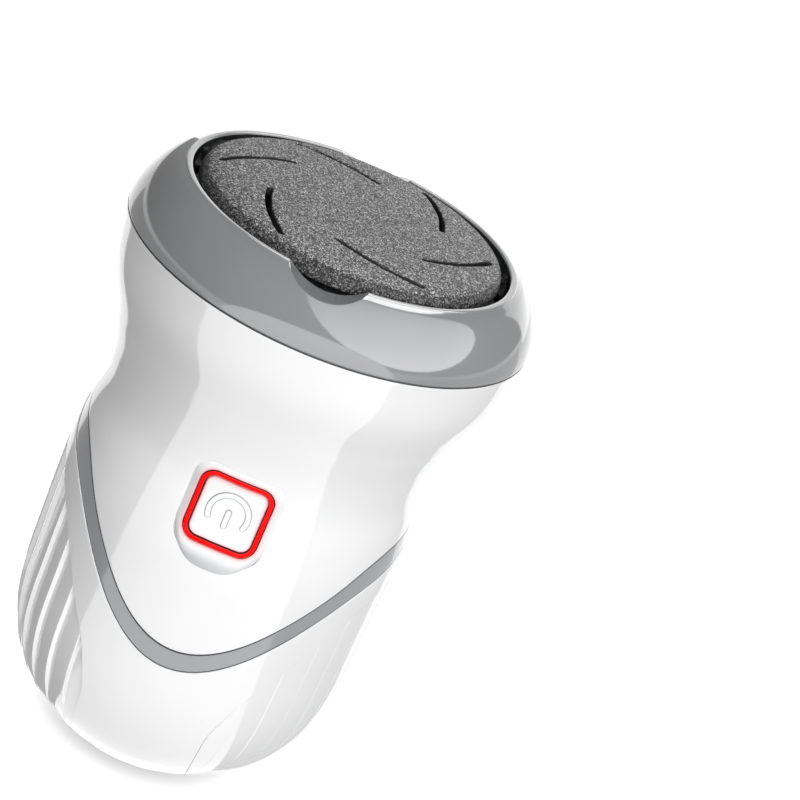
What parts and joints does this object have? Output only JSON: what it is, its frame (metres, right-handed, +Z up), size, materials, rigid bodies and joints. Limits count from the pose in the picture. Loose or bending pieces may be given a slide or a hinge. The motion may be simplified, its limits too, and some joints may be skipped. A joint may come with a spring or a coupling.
{
  "type": "electric callus remover",
  "caption": "Palm-size electric callus remover: spinning slotted abrasive disc in a grey collar, waisted white body, V-shaped trim band, ribbed grip and lit power button.",
  "frame": {"origin": "centre of the flat foot, on the surface the object stands on", "axes": "+Z up along the body and the disc's axis, -Y towards the power button, +X to the viewer's right"},
  "size_m": [0.07, 0.07, 0.1072],
  "materials": {
    "shell_white": "glossy white moulded plastic",
    "collar_grey": "glossy mid grey moulded plastic",
    "band_grey": "satin grey moulded plastic",
    "grit": "coarse mineral grit on a plastic disc",
    "rubber": "soft black rubber",
    "sponge": "open-cell filter foam",
    "black_plastic": "matt black moulded plastic",
    "steel": "plain plated steel",
    "magnet": "sintered magnet",
    "copper": "wound copper armature",
    "cell_wrap": "blue shrink sleeve",
    "board_green": "green solder mask",
    "ring_red": "red light-guide plastic, lit from behind",
    "led": "small lamp package",
    "wire_red": "red wire insulation",
    "wire_black": "black wire insulation"
  },
  "bodies": {
    "housing": {"upper_shell": "shell_white", "trim_band": "band_grey", "front_shell": "shell_white", "grip_shell": "shell_white", "base_cap": "shell_white", "foot_pad": "rubber", "base_screw_1": "steel", "base_screw_2": "steel", "head_deck": "collar_grey", "deck_screw_1": "steel", "deck_screw_2": "steel", "deck_screw_3": "steel", "dust_tray": "black_plastic", "dust_filter": "sponge", "collar_seal": "rubber", "motor_mount": "black_plastic", "motor_screw_1": "steel", "motor_screw_2": "steel", "motor_can": "steel", "motor_magnet": "magnet", "motor_end_cap": "black_plastic", "battery_cell": "cell_wrap", "cell_cradle": "black_plastic", "usb_socket": "steel", "charge_board": "board_green", "button_bezel": "shell_white", "light_ring": "ring_red", "tact_switch": "black_plastic", "ring_led_1": "led", "ring_led_2": "led", "control_board": "board_green", "motor_lead_red": "wire_red", "motor_lead_black": "wire_black", "cell_lead_red": "wire_red", "cell_lead_black": "wire_black", "charge_lead_red": "wire_red", "charge_lead_black": "wire_black"},
    "rotor": {"spindle": "steel", "disc_carrier": "black_plastic", "fan_wheel": "black_plastic", "motor_armature": "copper"},
    "disc": {"grinding_disc": "grit"},
    "collar": {"collar": "collar_grey"},
    "button": {"power_button": "shell_white"}
  },
  "joints": [
    {"name": "disc_spin", "type": "hinge", "parent": "housing", "child": "rotor", "pos_m": [0, 0, 0.1], "axis": [0, 0, 1], "continuous": true},
    {"name": "disc_lift", "type": "slide", "parent": "rotor", "child": "disc", "axis": [0, 0, 1], "range_m": [0, 0.012]},
    {"name": "collar_lift", "type": "slide", "parent": "housing", "child": "collar", "axis": [0, 0, 1], "range_m": [0, 0.016]},
    {"name": "power_press", "type": "slide", "parent": "housing", "child": "button", "axis": [0, 0.9903, -0.1392], "range_m": [0, 0.0006], "stiffness_N_per_m": 1500}
  ]
}
